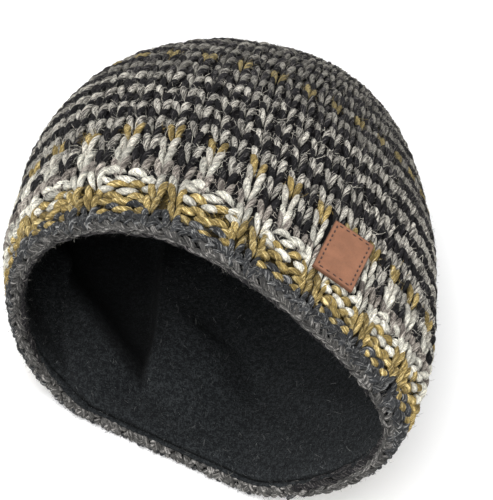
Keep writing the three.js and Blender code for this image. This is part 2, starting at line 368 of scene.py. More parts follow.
def rim_squeeze(share, around):
    """How much thinner the wool is pressed at its rim, where the lining is sewn to it."""
    squeezed = SQUEEZE + SQUEEZE_PRESSED * pressed(around)
    return squeezed * (1 - smooth(0, SQUEEZE_REACH / WALL_LENGTH, share))


# Modelling helpers


def deselect():
    """Leaves nothing selected, so that the next step acts on its own piece alone."""
    if bpy.context.object and bpy.context.object.mode != "OBJECT":
        bpy.ops.object.mode_set(mode="OBJECT")
    bpy.ops.object.select_all(action="DESELECT")


def make_active(piece):
    deselect()
    piece.select_set(True)
    bpy.context.view_layer.objects.active = piece


def places(mesh):
    """The places of a mesh's points."""
    flat = np.empty(len(mesh.vertices) * 3)
    mesh.vertices.foreach_get("co", flat)
    return flat.reshape(-1, 3)


def move_vertices(piece, points):
    piece.data.vertices.foreach_set("co", np.asarray(points, float).ravel())
    piece.data.update()


def add_numbers(mesh, name, values, kind="FLOAT"):
    """Numbers, vectors or colours kept at a mesh's points, for its material to read."""
    layer = mesh.attributes.new(name, kind, "POINT")
    key = {"FLOAT": "value", "FLOAT_VECTOR": "vector", "FLOAT_COLOR": "color"}[kind]
    layer.data.foreach_set(key, np.asarray(values, float).ravel())


def add_mesh(name, points, corners, starts):
    """A new piece from its points, the points at the faces' corners and where each face's start."""
    mesh = bpy.data.meshes.new(name)
    mesh.vertices.add(len(points))
    mesh.vertices.foreach_set("co", points.ravel())
    mesh.loops.add(len(corners))
    mesh.loops.foreach_set("vertex_index", corners)
    mesh.polygons.add(len(starts))
    mesh.polygons.foreach_set("loop_start", starts)
    mesh.update(calc_edges=True)
    piece = bpy.data.objects.new(name, mesh)
    bpy.context.collection.objects.link(piece)
    return piece


def finish_piece(piece, material, slot, *nodes):
    """Gives a piece its finish and lets it ride with the hat in place of the CAD nodes."""
    piece.data.materials.clear()
    piece.data.materials.append(material)
    piece.data.polygons.foreach_set("use_smooth", np.ones(len(piece.data.polygons), bool))
    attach(piece, "root")
    if nodes:
        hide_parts(*nodes)
    return piece


def wrapped_grid(name, around, along, place):
    """A flat grid bent round the hat, then welded at its seam and at its poles.

    place(v, u) gives the points, and a list of what the mesh keeps at them as (key, values, kind).
    """
    deselect()
    bpy.ops.mesh.primitive_grid_add(x_subdivisions=around, y_subdivisions=along, size=1)
    piece = bpy.context.object
    piece.name = piece.data.name = name
    flat = places(piece.data)
    points, kept = place(flat[:, 1] + 0.5, flat[:, 0] + 0.5)
    move_vertices(piece, points)
    for key, values, kind in kept:
        add_numbers(piece.data, key, values, kind)
    bpy.ops.object.mode_set(mode="EDIT")
    bpy.ops.mesh.select_all(action="SELECT")
    bpy.ops.mesh.remove_doubles(threshold=1e-6)
    bpy.ops.mesh.normals_make_consistent(inside=False)
    bpy.ops.object.mode_set(mode="OBJECT")
    return piece


class Strand:
    """A short length of yarn, modelled once as a drawn-out ball, whose copies are laid along paths.

    The lower its bluntness, the fuller its ends. fullest is the share of its length where it is thickest.
    """

    def __init__(self, sides, rings, bluntness, fullest=0.5):
        deselect()
        bpy.ops.mesh.primitive_uv_sphere_add(segments=sides, ring_count=rings, radius=1)
        ball = bpy.context.object
        bpy.ops.object.mode_set(mode="EDIT")
        bpy.ops.mesh.select_all(action="SELECT")
        bpy.ops.transform.resize(value=(1, 1, 2))
        bpy.ops.object.mode_set(mode="OBJECT")
        points = places(ball.data)
        way = np.arccos(np.clip(points[:, 2] / 2, -1, 1)) / np.pi
        self.ring = np.round(way * rings).astype(int)
        self.steps = np.arange(rings + 1) / rings
        angle = np.arctan2(points[:, 1], points[:, 0])
        pole = (self.ring == 0) | (self.ring == rings)
        self.side, self.rise = np.where(pole, 0, np.cos(angle)), np.where(pole, 0, np.sin(angle))
        self.swell = np.sin(np.pi * self.steps ** (np.log(0.5) / np.log(fullest))) ** bluntness
        self.corners = np.empty(len(ball.data.loops), int)
        ball.data.loops.foreach_get("vertex_index", self.corners)
        self.sizes = np.empty(len(ball.data.polygons), int)
        ball.data.polygons.foreach_get("loop_total", self.sizes)
        mesh = ball.data
        bpy.data.objects.remove(ball)
        bpy.data.meshes.remove(mesh)

    def lay(self, name, centre, out, half_width, half_height, shade):
        """One mesh with a copy of the strand along each path. centre and out are path by step by xyz."""
        count = len(centre)
        heading = unit(np.gradient(centre, axis=1))
        sideways = unit(np.cross(heading, out))
        upright = unit(np.cross(sideways, heading))
        width = half_width[:, None] * self.swell
        height = half_height[:, None] * self.swell
        r = self.ring
        points = centre[:, r] + sideways[:, r] * (width[:, r] * self.side)[..., None]
        points = points + upright[:, r] * (height[:, r] * self.rise)[..., None]
        points[..., 2] = np.maximum(points[..., 2], 0)
        size = points.shape[1]
        steps = np.linalg.norm(np.diff(centre, axis=1), axis=-1)
        run = np.concatenate([np.zeros((count, 1)), np.cumsum(steps, 1)], 1)
        corners = (self.corners + np.arange(count)[:, None] * size).ravel()
        starts = np.concatenate([[0], np.cumsum(np.tile(self.sizes, count))[:-1]])
        piece = add_mesh(name, points.reshape(-1, 3), corners, starts)
        piece.data.validate()
        side, rise = (np.broadcast_to(way, (count, size)) for way in (self.side, self.rise))
        add_numbers(piece.data, "yarn", np.stack([side, rise, run[:, r]], -1), "FLOAT_VECTOR")
        add_numbers(piece.data, "shade", np.repeat(shade, size))
        return piece


# Finishes


class Number:
    """A number in a finish, so that its maths is written as plain expressions."""

    def __init__(self, finish, socket):
        self.finish, self.socket = finish, socket

    def _maths(self, operation, *values):
        return self.finish.number("ShaderNodeMath", "Value", {"operation": operation}, *values)

    def __add__(self, other):
        return self._maths("ADD", self, other)

    __radd__ = __add__

    def __sub__(self, other):
        return self._maths("SUBTRACT", self, other)

    def __rsub__(self, other):
        return self._maths("SUBTRACT", other, self)

    def __mul__(self, other):
        return self._maths("MULTIPLY", self, other)

    __rmul__ = __mul__

    def __truediv__(self, other):
        return self._maths("DIVIDE", self, other)

    def __pow__(self, other):
        return self._maths("POWER", self, other)

    def __abs__(self):
        return self._maths("ABSOLUTE", self)

    def cosine(self):
        return self._maths("COSINE", self)

    def turn(self, other):
        """The angle to a point that lies this far up and the other number across."""
        return self._maths("ARCTAN2", self, other)

    def held(self):
        """Kept between 0 and 1."""
        return self._maths("MINIMUM", self._maths("MAXIMUM", self, 0), 1)

    def between(self, low, high):
        """0 below low and 1 above high, with a smooth way up."""
        curve = {"interpolation_type": "SMOOTHSTEP"}
        return self.finish.number("ShaderNodeMapRange", "Result", curve, self, low, high)


class Finish:
    """A material that is built node by node around one surface shader."""

    def __init__(self, name, roughness, sheen=0.0, sheen_roughness=0.5, specular=0.3):
        self.material = bpy.data.materials.new(name)
        self.material.use_nodes = True
        self.tree = self.material.node_tree
        self.shader = next(n for n in self.tree.nodes if n.type == "BSDF_PRINCIPLED")
        self.shader.inputs["Roughness"].default_value = roughness
        self.shader.inputs["Specular IOR Level"].default_value = specular
        self.shader.inputs["Sheen Weight"].default_value = sheen
        self.shader.inputs["Sheen Roughness"].default_value = sheen_roughness

    def node(self, kind, options, *values, **named):
        """Adds a node, sets its options first, and then fills or links its sockets."""
        made = self.tree.nodes.new(kind)
        for key, value in options.items():
            setattr(made, key, value)
        for key, value in [*enumerate(values), *named.items()]:
            if isinstance(value, Number):
                value = value.socket
            if isinstance(value, bpy.types.NodeSocket):
                self.tree.links.new(value, made.inputs[key])
            else:
                made.inputs[key].default_value = value
        return made

    def number(self, kind, output, options, *values, **named):
        """A node's output as a number."""
        return Number(self, self.node(kind, options, *values, **named).outputs[output])

    def kept(self, name, output="Fac"):
        """What a mesh keeps at its points under a name."""
        return self.node("ShaderNodeAttribute", {"attribute_name": name}).outputs[output]

    def parts(self, vector):
        """A vector's three numbers."""
        made = self.node("ShaderNodeSeparateXYZ", {}, vector)
        return [Number(self, made.outputs[k]) for k in "XYZ"]

    def vector(self, x, y, z):
        return self.node("ShaderNodeCombineXYZ", {}, x, y, z).outputs[0]

    def place(self):
        """Where the surface lies on its piece."""
        return self.node("ShaderNodeTexCoord", {}).outputs["Object"]

    def noise(self, where, scale, detail=2.0, roughness=0.5):
        """Cloudy noise about 0.5."""
        return self.number(
            "ShaderNodeTexNoise", "Fac", {}, Vector=where, Scale=scale, Detail=detail, Roughness=roughness
        )

    def blend(self, share, first, second):
        """A colour between two colours."""
        made = self.tree.nodes.new("ShaderNodeMix")
        made.data_type = "RGBA"
        self.tree.links.new(share.socket, made.inputs[0])
        for key, colour in ((6, first), (7, second)):
            if isinstance(colour, bpy.types.NodeSocket):
                self.tree.links.new(colour, made.inputs[key])
            else:
                made.inputs[key].default_value = (*colour, 1)
        return made.outputs[2]

    def scaled(self, colour, factor):
        """A colour made lighter or darker by a number."""
        made = self.node("ShaderNodeVectorMath", {"operation": "SCALE"}, colour)
        self.tree.links.new(factor.socket, made.inputs["Scale"])
        return made.outputs[0]

    def colour(self, socket):
        self.tree.links.new(socket, self.shader.inputs["Base Color"])

    def bump(self, height, distance):
        made = self.node("ShaderNodeBump", {}, Height=height, Distance=distance, Strength=1.0)
        self.tree.links.new(made.outputs["Normal"], self.shader.inputs["Normal"])


PLIES = 3


def wool_finish(yarn):
    """Plied wool: slanting plies with painted shade in the grooves between them, and flecks drawn out along
    each ply.
    """
    name = f"{yarn}_wool"
    made = bpy.data.materials.get(name)
    if made is not None:
        return made
    dyes = settings().yarns
    dye, fleck, marl = tuple(getattr(dyes, yarn)), tuple(getattr(dyes, f"{yarn}_fleck")), YARNS[yarn][2]
    wool = Finish(name, roughness=0.95, sheen=0.04, specular=0.05)
    side, rise, run = wool.parts(wool.kept("yarn", "Vector"))
    shade = Number(wool, wool.kept("shade"))
    twist = side.turn(rise) * PLIES - run * (2 * np.pi * PLIES / settings().knit.ply_turn)
    ply = abs((twist * 0.5).cosine())
    fibre = wool.noise(wool.vector(twist * 0.95, run * 420, shade * 80), scale=1, detail=3, roughness=0.75)
    streak = wool.noise(wool.vector(twist * 0.5, run * 210, shade * 80 + 40), scale=1, roughness=0.6)
    tangle = wool.noise(wool.place(), scale=1100, roughness=0.7)
    marled = (fibre * 0.45 + streak * 0.55).between(0.6 - marl * 0.25, 0.66 - marl * 0.25)
    # painted shade: the colour is darker in the grooves between the plies, and mottled at random by the
    # tangle
    depth = (0.62 + 0.38 * ply.held() ** 0.6) * (0.78 + 0.42 * tangle.between(0.36, 0.64))
    drawn = fibre.between(0.34, 0.66) * 0.85 + streak.between(0.36, 0.64) * 0.6 + 0.33
    wool.colour(wool.scaled(wool.blend(marled, dye, fleck), depth * (0.8 + 0.75 * shade) * drawn))
    wool.bump(ply**0.7 * 0.3 + fibre * 1.5 + streak * 0.4 + tangle * 0.4, 1.2 * MM)
    return wool.material


def fuzz_finish():
    """Loose fibres: some of the wool's own colour, and stray ones between dark and light."""
    name = "loose_wool_fibres"
    made = bpy.data.materials.get(name)
    if made is not None:
        return made
    fuzz = Finish(name, roughness=0.9, specular=0.05)
    tone = Number(fuzz, fuzz.kept("shade"))
    patchy = fuzz.noise(fuzz.place(), scale=300)
    own = fuzz.scaled(fuzz.kept("dye", "Color"), 0.5 + patchy)
    stray = fuzz.blend(tone.between(0.7, 0.95), (0.03, 0.03, 0.033), (0.25, 0.24, 0.215))
    fuzz.colour(fuzz.blend(tone.between(0.5, 0.6), own, stray))
    fuzz.bump(patchy, 0.1 * MM)
    return fuzz.material


def ground_finish():
    """The back of the stitches, seen in the gaps, its colour painted dark as shade."""
    ground = Finish("shaded_wool_ground", roughness=1.0, specular=0.05)
    tufts = ground.noise(ground.place(), scale=700, detail=3, roughness=0.7)
    ground.colour(ground.scaled(ground.kept("dye", "Color"), 0.5 + tufts))
    ground.bump(tufts, 1.2 * MM)
    return ground.material


def fleece_finish():
    """Brushed fleece with a pilled nap, painted darker between the two deep folds and in the seam line, as
    shade.
    """
    fleece = Finish("brushed_fleece", roughness=1.0, sheen=0.02, sheen_roughness=0.6, specular=0.02)
    pills = fleece.noise(fleece.place(), scale=520, detail=3, roughness=0.7)
    fibres = fleece.noise(fleece.place(), scale=1500, detail=3, roughness=0.7)
    worn = fleece.noise(fleece.place(), scale=28)
    pale = (pills * 0.4 + fibres * 0.6).between(0.43, 0.63)
    colour = fleece.blend(pale, tuple(settings().lining.colour), (0.034, 0.038, 0.04))
    pocket_shade, seam = (Number(fleece, fleece.kept(key)) for key in ("pocket_shade", "seam"))
    # painted shade: darker between the two deep folds and in the seam's groove
    painted_shade = (1 - pocket_shade * 0.65) * (1 - seam * 0.75)
    fleece.colour(fleece.scaled(colour, (0.7 + 0.6 * worn) * painted_shade))
    fleece.bump(pills * 0.6 + fibres * 0.8, 1.2 * MM)
    return fleece.material


def lint_finish():
    """Lint, each fibre between dark and pale."""
    lint = Finish("pale_lint", roughness=0.9, specular=0.1)
    tone = Number(lint, lint.kept("shade"))
    patchy = lint.noise(lint.place(), scale=400, detail=1)
    lint.colour(lint.blend((tone * 0.7 + patchy * 0.3).held(), (0.04, 0.044, 0.045), (0.26, 0.265, 0.26)))
    lint.bump(patchy, 0.05 * MM)
    return lint.material


def leather_finish():
    """Smooth tan leather with a fine grain, darker and smoother at its cut edges."""
    patch = settings().patch
    leather = Finish("tan_leather", roughness=0.55, specular=0.35)
    across, up, lift = leather.parts(leather.kept("spot", "Vector"))
    cloud = leather.noise(leather.place(), scale=140, detail=3, roughness=0.6)
    fine = leather.noise(leather.place(), scale=2600, roughness=0.6)
    cells = {"feature": "DISTANCE_TO_EDGE"}
    grain = leather.number("ShaderNodeTexVoronoi", "Distance", cells, Vector=leather.place(), Scale=1500)
    pores = grain.between(0.0, 0.16)
    reach_x = abs(across) / (patch.width / 2)
    reach_y = abs(up) / (patch.height / 2)
    rim = reach_x.between(0.93, 1.0) + reach_y.between(0.955, 1.0)
    edge = (rim + (1 - lift.between(0.75, 0.97))).held()
    tan = tuple(patch.colour)
    dark = tuple(0.38 * c for c in tan)
    light = tuple(min(1.25 * c, 1) for c in tan)
    colour = leather.blend(cloud.between(0.35, 0.7), tan, light)
    colour = leather.blend(edge * 0.7, colour, dark)
    leather.colour(leather.scaled(colour, 0.86 + 0.12 * pores + 0.1 * fine))
    leather.bump(pores * 0.4 + fine * 0.3 + cloud * 0.5, 0.18 * MM)
    roughness = 0.5 + 0.2 * fine - 0.08 * edge
    leather.tree.links.new(roughness.socket, leather.shader.inputs["Roughness"])
    return leather.material


def thread_finish():
    """Waxed thread of two plies."""
    thread = Finish("dark_brown_thread", roughness=0.7, sheen=0.1, specular=0.2)
    side, rise, run = thread.parts(thread.kept("yarn", "Vector"))
    ply = abs(((side.turn(rise) * 2 - run * 6000) * 0.5).cosine())
    # painted shade: darker in the grooves between the two plies
    thread.colour(thread.blend(ply, (0.018, 0.009, 0.007), (0.075, 0.036, 0.026)))
    thread.bump(ply, 0.1 * MM)
    return thread.material


def floor_finish():
    """A plain pale floor."""
    floor = Finish("pale_floor", roughness=0.9, specular=0.1)
    cloud = floor.noise(floor.place(), scale=3)
    base = tuple(settings().stage.floor)
    floor.colour(floor.blend(cloud, base, tuple(min(c * 1.02, 1) for c in base)))
    return floor.material


# Knitting

# The fewest stitches in a course of the crown
FEWEST_STITCHES = 6
# The ground behind the stitches: how deep its outer face lies, how much darker than the band's yarns it is
# painted, as shade in the gaps, and its painted shade colour above the band
GROUND_DEPTH = 3.4 * MM
GROUND_SHADE = 0.12
GROUND_SHADE_COLOUR = (0.012, 0.011, 0.012)
# The parts of its grid: the inner face up to the first, the rim up to the second, then the outer face
GROUND_INNER_END, GROUND_RIM_END = 0.42, 0.5


def stitch_columns(course):
    """The columns in a course, numbered as in the band, and how many band columns each one is wide."""
    knit = settings().knit
    count = knit.stitches
    if course >= len(COURSES):
        fits = int(round(WALL.girth_at((course + 0.5) / knit.courses) / knit.crown_stitch))
        count = min(count, max(FEWEST_STITCHES, fits))
    wide = knit.stitches / count
    return np.arange(count) * wide, wide


def is_purl(course, column):
    """The band is two knit columns and two purl columns, by turns."""
    return course < RIB_COURSES and column % 4 in (1, 2)


def lay_legs(name, strand, stitches, rng):
    """Both legs of each stitch in a list of (course, column, columns wide).

    x and y are a leg's way in columns and courses. What is named beside a size scatters it at random.
    """
    knit = settings().knit
    course, column, wide = (np.repeat(np.array(v, float), 2) for v in zip(*stitches))
    count = len(course)
    side = np.tile([-1.0, 1.0], count // 2)
    s = strand.steps[None]
    opening, foot, low, tall, thick, sunk, aside, broad = rng.normal(size=(8, count, 1))
    pull = np.repeat(rng.normal(size=(count // 2, 2)), 2, axis=0)
    spread = 0.07 + 0.03 * foot + (0.3 + 0.04 * opening) * s**0.9
    x = side[:, None] * spread + 0.03 * aside + 0.04 * pull[:, :1]
    wave = 0.1 * np.sin(0.9 * column + 2.3 * course) + 0.08 * np.sin(2.1 * column - 3.9 * course)
    y = -0.5 + 0.05 * low + (wave + 0.06 * pull[:, 1])[:, None] + (1.85 + 0.1 * tall) * s
    share = np.clip((course[:, None] + y) / knit.courses, -0.02, 0.998)
    at = column[:, None] + wide[:, None] * x
    point, out, _, _ = WALL.read(share, around_at(at))
    half_height = knit.leg_thickness / 2 * (1 + 0.07 * thick[:, 0])
    arch = np.sin(np.pi * np.clip(s * 0.9 + 0.05, 0, 1)) ** 0.8
    lift = 0.5 * MM - half_height[:, None] - knit.leg_dip * (1 - arch) + 0.2 * MM * sunk
    centre = point + out * (lift - rib_sink(share, at))[..., None]
    middle = (course + 0.5) / knit.courses
    room = (around_at(column + wide / 2) - around_at(column - wide / 2)) * WALL.girth_at(middle)
    half_width = (0.35 * room + 0.15 * knit.crown_stitch) * knit.leg_width * (1 + 0.09 * broad[:, 0])
    return strand.lay(name, centre, out, half_width, half_height, rng.random(count))


def lay_arcs(name, strand, arcs, rng):
    """Purl bumps in a list of (height in courses, column, columns to each side, rise in courses)."""
    knit = settings().knit
    height, column, span, rise = (np.array(v, float) for v in zip(*arcs))
    count = len(height)
    t = strand.steps[None] * 2 - 1
    wide, aside, low, slant, lifted = rng.normal(size=(5, count, 1))
    x = span[:, None] * t * (1 + 0.12 * wide) + 0.08 * aside
    y = rise[:, None] * (1 - t * t) + 0.1 * low + 0.13 * slant * t
    share = (height[:, None] + y) / knit.courses
    at = column[:, None] + x
    point, out, _, _ = WALL.read(share, around_at(at))
    half = knit.bump_thickness / 2 * (1 + 0.08 * aside[:, 0])
    lift = -half[:, None] - 1.5 * MM * (1 - np.cos(np.pi / 2 * t) ** 0.7) + 0.7 * MM + 0.2 * MM * lifted
    centre = point + out * (lift - rib_sink(share, at))[..., None]
    return strand.lay(name, centre, out, half, half * 0.95, rng.random(count))


def join(name, pieces):
    """Several meshes as one piece."""
    deselect()
    for piece in pieces:
        piece.select_set(True)
    bpy.context.view_layer.objects.active = pieces[0]
    if len(pieces) > 1:
        bpy.ops.object.join()
    pieces[0].name = pieces[0].data.name = name
    return pieces[0]


class BEANIE_OT_ground(bpy.types.Operator):
    """Make the shaded back of the knit, which shows in the gaps between the stitches"""

    bl_idname = "beanie.ground"
    bl_label = "Knit ground"

    def execute(self, context):
        knit, dyes = settings().knit, settings().yarns
        outer, inner = GROUND_DEPTH, KNIT_WALL - 0.2 * MM
        band = [np.array(getattr(dyes, yarn_at(course, 0))) * GROUND_SHADE for course in range(RIB_COURSES)]
        shades = np.c_[[*band, GROUND_SHADE_COLOUR], np.ones(RIB_COURSES + 1)]
        # for each part, from and to on the grid, the shares of the wall there, and how deep it lies
        bends = [
            (0, GROUND_INNER_END, 1, 0, inner, inner),
            (GROUND_INNER_END, GROUND_RIM_END, 0, 0, inner, outer),
            (GROUND_RIM_END, 1, 0, 1, outer, outer),
        ]

        def place(v, u):
            share, depth, bulge = np.zeros_like(v), np.zeros_like(v), np.zeros_like(v)
            for start, end, first, last, deep, shallow in bends:
                inside = (v >= start - 1e-9) & (v <= end + 1e-9)
                x = np.clip((v - start) / (end - start), 0, 1)
                share = np.where(inside, first + (last - first) * x, share)
                depth = np.where(inside, deep + (shallow - deep) * x, depth)
                if first == last:
                    bulge = np.where(inside, np.sin(np.pi * x), bulge)
            share = np.where(share > 1 - 1e-6, 1, share)
            sunk = np.where(v > GROUND_RIM_END, rib_sink(share, column_at(u)), 0)
            point, out, along, _ = WALL.read(share, np.where(share >= 1, 0, u))
            depth = depth + sunk - np.where(v < GROUND_RIM_END, rim_squeeze(share, u), 0)
            point = point - out * depth[:, None] - along * (bulge * 0.3 * MM)[:, None]
            point[:, 2] = np.maximum(point[:, 2], 0.4 * MM)
            course = np.clip((share * knit.courses).astype(int), 0, RIB_COURSES)
            return point, [("dye", shades[course], "FLOAT_COLOR")]

        piece = wrapped_grid("knit_ground", 180, 120, place)
        finish_piece(piece, ground_finish(), "wool_knit", "knit_body")
        return {"FINISHED"}


class BEANIE_OT_stitches(bpy.types.Operator):
    """Knit the stitches of the band, the body and the crown, each yarn as a piece of its own"""

    bl_idname = "beanie.stitches"
    bl_label = "Stitches"

    def execute(self, context):
        knit = settings().knit
        rng = np.random.default_rng(7)
        strand = Strand(sides=8, rings=8, bluntness=0.62, fullest=0.52)
        bump = Strand(sides=8, rings=8, bluntness=0.55)
        legs, arcs = {}, {}
        for course in range(int(knit.courses)):
            columns, wide = stitch_columns(course)
            for number, column in enumerate(columns):
                yarn = yarn_at(course, number)
                part = "crown" if course >= len(COURSES) else "body"
                if not is_purl(course, number):
                    legs.setdefault((yarn, part), []).append((course, column, wide))
                    continue
                bumps = arcs.setdefault(yarn, [])
                bumps.append((course + 0.84, column, 0.5, 0.16))
                if number % 4 == 1:
                    for edge, span in ((-0.5, 0.36), (0.5, 0.52), (1.5, 0.36)):
                        bumps.append((course - 0.3, column + edge, span, -0.2))
                        if course == RIB_COURSES - 1:
                            bumps.append((course + 0.5, column + edge, span, -0.12))
        for (yarn, part), stitches in legs.items():
            pieces = [lay_legs(f"{yarn}_{part}_stitches", strand, stitches, rng)]
            if part == "body" and yarn in arcs:
                low = [arc for arc in arcs[yarn] if arc[0] > -0.1]
                pieces.append(lay_arcs(f"{yarn}_purl", bump, low, rng))
            piece = join(f"{yarn}_{part}_stitches", pieces)
            finish_piece(piece, wool_finish(yarn), "wool_knit", "knit_body")
        return {"FINISHED"}


class BEANIE_OT_edge(bpy.types.Operator):
    """Roll the cast-on edge: rows of small slanting loops from the outer face over the rim"""

    bl_idname = "beanie.edge"
    bl_label = "Cast-on edge"

    def execute(self, context):
        knit = settings().knit
        rng = np.random.default_rng(11)
        strand = Strand(sides=8, rings=7, bluntness=0.55)
        count = int(knit.stitches * knit.edge_loops)
        s = strand.steps[None]
        laid = {"charcoal": [], "ash": [], "coal": []}
        for row in range(knit.edge_rows):
            lean, aside, up, long, thick, lifted = rng.normal(size=(6, count, 1))
            rolled = row / max(knit.edge_rows - 1, 1)
            column = (np.arange(count)[:, None] + row * 0.5 + 0.15 * aside) / knit.edge_loops
            low = pressed(around_at(column[:, 0]))
            first, more = (0.5, 0.7) if row % 2 else (-0.35, -0.75)
            slant = (first + more * rolled + 0.12 * lean) * (1 - 0.7 * low[:, None])
            column = column + (s - 0.5) * slant * 1.3
            middle = -1.5 * MM + row * knit.edge_step + 0.3 * MM * up
            way = middle + (s - 0.5) * (6 - 2.2 * rolled + 0.6 * long) * MM
            half = (knit.edge_ply / 2) * (1 + 0.12 * thick[:, 0]) * (1 + 0.25 * low)
            lift = -half[:, None] + (1.1 * np.sin(np.pi * s) - 0.6 + 0.3 * lifted) * MM
            centre, out = rim_place(way, around_at(column), lift)
            # where the rim is pressed its loops get a higher shade number, so they are painted lighter, as
            # painted light
            shape = (centre, out, half, half * 0.9, rng.random(count) + 0.55 * low)
            # the back rows are coal, as painted shade, and ash where the rim is pressed, as painted light
            for loops, back in ((low < 0.5, "coal"), (low >= 0.5, "ash")):
                yarn = ("charcoal", "ash", back)[row * 3 // knit.edge_rows]
                laid[yarn].append(strand.lay(f"edge_row_{row}", *(part[loops] for part in shape)))
        for name, yarn in (("cast_on_edge", "charcoal"), ("cast_on_cord", "ash"), ("cast_on_back", "coal")):
            finish_piece(join(name, laid[yarn]), wool_finish(yarn), "wool_knit", "knit_body")
        return {"FINISHED"}


# The radius of the rolled rim, how much less it is where the rim is pressed, and how far in it begins
ROLL_RADIUS, ROLL_PRESSED, ROLL_START = 3.7 * MM, 0.9 * MM, 0.35


def rim_place(way, around, lift):
    """A point and its normal on the rolled rim. way runs from 0 at the outer face over the roll."""
    core = ROLL_RADIUS - ROLL_PRESSED * pressed(around)
    arc = np.clip(way / ROLL_RADIUS, 0, np.pi)
    beyond = np.maximum(way - np.pi * ROLL_RADIUS, 0) + np.maximum(-way, 0) + core * ROLL_START
    point, out, along, _ = WALL.read(beyond / WALL_LENGTH, around)
    ring_out = out * np.cos(arc)[..., None] - along * np.sin(arc)[..., None]
    return point - out * core[..., None] + ring_out * (core + lift)[..., None], ring_out


# How wide a fibre is at each of its steps, beside its full width, and how steeply it may stand off
FIBRE_TAPER = np.array([0.7, 1, 1, 0.8, 0.3])
FIBRE_RISE = 0.35


def any_way(along, across, rng):
    """A heading at random along the wall."""
    angle = rng.random(len(along)) * 2 * np.pi
    return along * np.cos(angle)[:, None] + across * np.sin(angle)[:, None]


def lay_fibres(name, start, ways, lengths, width, curl, rng, segments=3, dyes=None):
    """Thin curly ribbons. ways holds each fibre's first heading and the normal it stands on."""
    way, out = ways
    count = len(start)
    spine = [start]
    turn = rng.normal(size=(count, 3)) * curl
    for _ in range(segments):
        way = unit(way + turn + rng.normal(size=(count, 3)) * curl * 0.4)
        way = unit(way - out * np.maximum(np.sum(way * out, -1, keepdims=True) - FIBRE_RISE, 0))
        spine.append(spine[-1] + way * (lengths / segments)[:, None])
    spine = np.stack(spine, 1)
    spine[..., 2] = np.maximum(spine[..., 2], 0.05 * MM)
    headings = unit(np.gradient(spine, axis=1))
    side = unit(np.cross(headings, out[:, None] + 0.3 * rng.normal(size=(count, 1, 3))))
    thin = width * FIBRE_TAPER[None, : segments + 1, None] / 2
    points = np.stack([spine - side * thin, spine + side * thin], 2).reshape(-1, 3)
    size = 2 * (segments + 1)
    k = np.arange(segments) * 2
    quad = np.stack([k, k + 1, k + 3, k + 2], 1)
    corners = (quad[None] + np.arange(count)[:, None, None] * size).reshape(-1)
    piece = add_mesh(name, points, corners, np.arange(0, len(corners), 4))
    add_numbers(piece.data, "shade", np.repeat(rng.random(count), size))
    if dyes is not None:
        add_numbers(piece.data, "dye", np.repeat(np.c_[dyes, np.ones(count)], size, 0), "FLOAT_COLOR")
    return piece


# How deep a loose fibre is rooted in the wool, and how close to the patch none lie
FIBRE_ROOT = 0.9 * MM
PATCH_CLEARANCE = 2.5 * MM


class BEANIE_OT_fuzz(bpy.types.Operator):
    """Raise the fine halo of loose fibres that stands off the wool"""

    bl_idname = "beanie.fuzz"
    bl_label = "Fuzz"

    def execute(self, context):
        rng = np.random.default_rng(23)
        long = settings().knit.fuzz_length
        self.raise_fibres("wool_fuzz_short", long * 0.7, (0, 0.35), 0.55, rng)
        self.raise_fibres("wool_fuzz_long", long * 1.1, (-0.1, 0.3), 0.4, rng)
        self.raise_edge_fibres(rng)
        return {"FINISHED"}

    def raise_edge_fibres(self, rng):
        """The fibres that stand off the rolled edge."""
        knit = settings().knit
        count = knit.edge_fuzz
        way = (rng.random(count) * 15 - 2) * MM
        around = rng.random(count)
        start, out = rim_place(way, around, np.full(count, -0.5 * MM))
        heading = unit(rng.normal(size=(count, 3)) + out * 0.9)
        lengths = knit.fuzz_length * (0.4 + 0.7 * rng.random(count))
        dyes = np.tile(settings().yarns.ash, (count, 1))
        ways = heading, out
        piece = lay_fibres("edge_fuzz", start, ways, lengths, knit.fuzz_width, 0.5, rng, dyes=dyes)
        finish_piece(piece, fuzz_finish(), "wool_knit")

    def dye_at(self, share, around):
        """The dye of the stitch at a place on the wall."""
        place = around * settings().knit.stitches
        yarn = yarn_at(int(share * settings().knit.courses), int(np.round(place - shift_at(place))))
        return tuple(getattr(settings().yarns, yarn))

    def on_patch(self, share, around):
        """Whether a place on the wall lies under the patch or close around it."""
        patch = settings().patch
        up = abs(share * WALL_LENGTH - patch.from_rim)
        aside = abs(around - patch.around) * WALL.girth_at(share)
        return (up < patch.height / 2 + PATCH_CLEARANCE) & (aside < patch.width / 2 + PATCH_CLEARANCE)

    def raise_fibres(self, name, length, lift, curl, rng):
        """lift is the least that a fibre rises from the wool, and how much more it may rise."""
        knit = settings().knit
        share = rng.random(knit.fuzz * 2) ** 0.9
        keep = rng.random(knit.fuzz * 2) < WALL.girth_at(share) / WALL.girth.max()
        share = share[keep][: knit.fuzz]
        around = rng.random(len(share))
        bare = self.on_patch(share, around)
        share, around = share[~bare], around[~bare]
        point, out, along, across = WALL.read(share, around)
        flat = any_way(along, across, rng)
        heading = unit(flat + out * (lift[0] + lift[1] * rng.random(len(share)))[:, None])
        start = point - out * (FIBRE_ROOT + rib_sink(share, column_at(around)))[:, None]
        lengths = length * (0.5 + rng.random(len(share)))
        dyes = [self.dye_at(*spot) for spot in zip(share, around)]
        piece = lay_fibres(name, start, (heading, out), lengths, knit.fuzz_width, curl, rng, dyes=dyes)
        finish_piece(piece, fuzz_finish(), "wool_knit")


